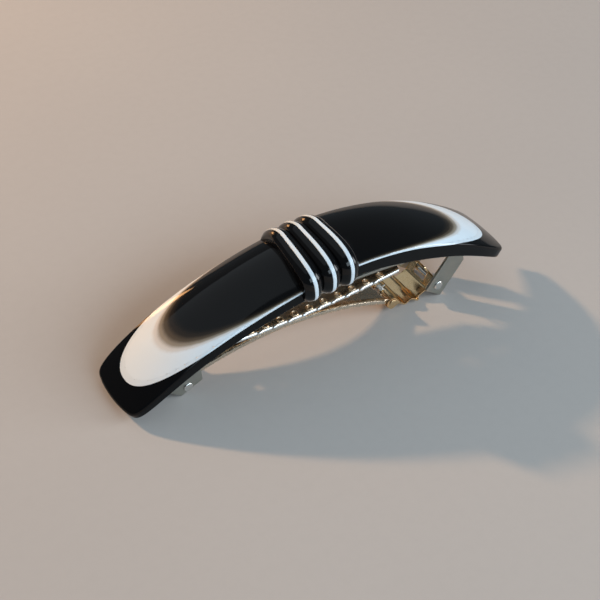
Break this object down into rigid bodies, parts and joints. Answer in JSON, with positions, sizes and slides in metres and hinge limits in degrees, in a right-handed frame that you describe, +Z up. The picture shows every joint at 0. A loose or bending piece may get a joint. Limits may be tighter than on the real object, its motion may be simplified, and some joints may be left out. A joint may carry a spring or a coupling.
{
  "type": "hair barrette",
  "caption": "Arched resin hair barrette with banded rings on a hinged metal clip with a sprung tension strip and a snap latch.",
  "frame": {"origin": "on the table, under the middle of the barrette's box as it lies at rest on the tips of its hinge ears and the feet of its catch tower", "axes": "+X along the bar from the hinge end to the latch end, +Y across the bar, +Z up from the table"},
  "size_m": [0.1056, 0.023, 0.0301],
  "materials": {
    "black_resin": "polished black cellulose acetate",
    "white_resin": "polished white cellulose acetate",
    "smoke_resin": "polished translucent smoke-brown to black acetate",
    "ring_black": "polished black acetate, rounded edges",
    "ring_white": "polished white acetate",
    "adhesive": "cured black adhesive",
    "satin_steel": "satin nickel-plated pressed steel",
    "polished_pin": "polished rivet",
    "nickel_strip": "bright nickel spring strip",
    "nickel_arm": "bright nickel pressing with warm cast",
    "latch_brass": "pale gold plated brass",
    "spring_wire": "drawn spring wire"
  },
  "bodies": {
    "barrette": {"bar_lower_layer": "black_resin", "bar_white_layer": "white_resin", "bar_upper_layer": "smoke_resin", "ring_left_outer_black": "ring_black", "ring_left_white": "ring_white", "ring_left_inner_black": "ring_black", "ring_middle_left_black": "ring_black", "ring_middle_white": "ring_white", "ring_middle_right_black": "ring_black", "ring_right_inner_black": "ring_black", "ring_right_white": "ring_white", "ring_right_outer_black": "ring_black", "bond_pad_hinge_end": "adhesive", "bond_pad_latch_end": "adhesive", "base_plate": "satin_steel", "hinge_pin": "polished_pin", "catch_bar": "polished_pin"},
    "tension": {"tension_strip": "nickel_strip"},
    "arm": {"clasp_arm": "nickel_arm", "latch_pin": "latch_brass", "latch_spring": "spring_wire"},
    "latch": {"latch_lever": "latch_brass"}
  },
  "joints": [
    {"name": "arm_hinge", "type": "hinge", "parent": "barrette", "child": "arm", "pos_m": [-0.03634, 0.00075, 0.00212], "axis": [0, 1, 0], "range_deg": [0, 65]},
    {"name": "latch_pivot", "type": "hinge", "parent": "arm", "child": "latch", "pos_m": [0.02052, 0.00075, 0.00328], "axis": [0, -1, 0], "range_deg": [0, 12], "stiffness_Nm_per_rad": 0.03, "springref_deg": -14.32},
    {"name": "tension_flex", "type": "slide", "parent": "barrette", "child": "tension", "axis": [-0.0696, 0, 0.9976], "range_m": [0, 0.0005], "stiffness_N_per_m": 800, "springref_m": -0.0008}
  ]
}
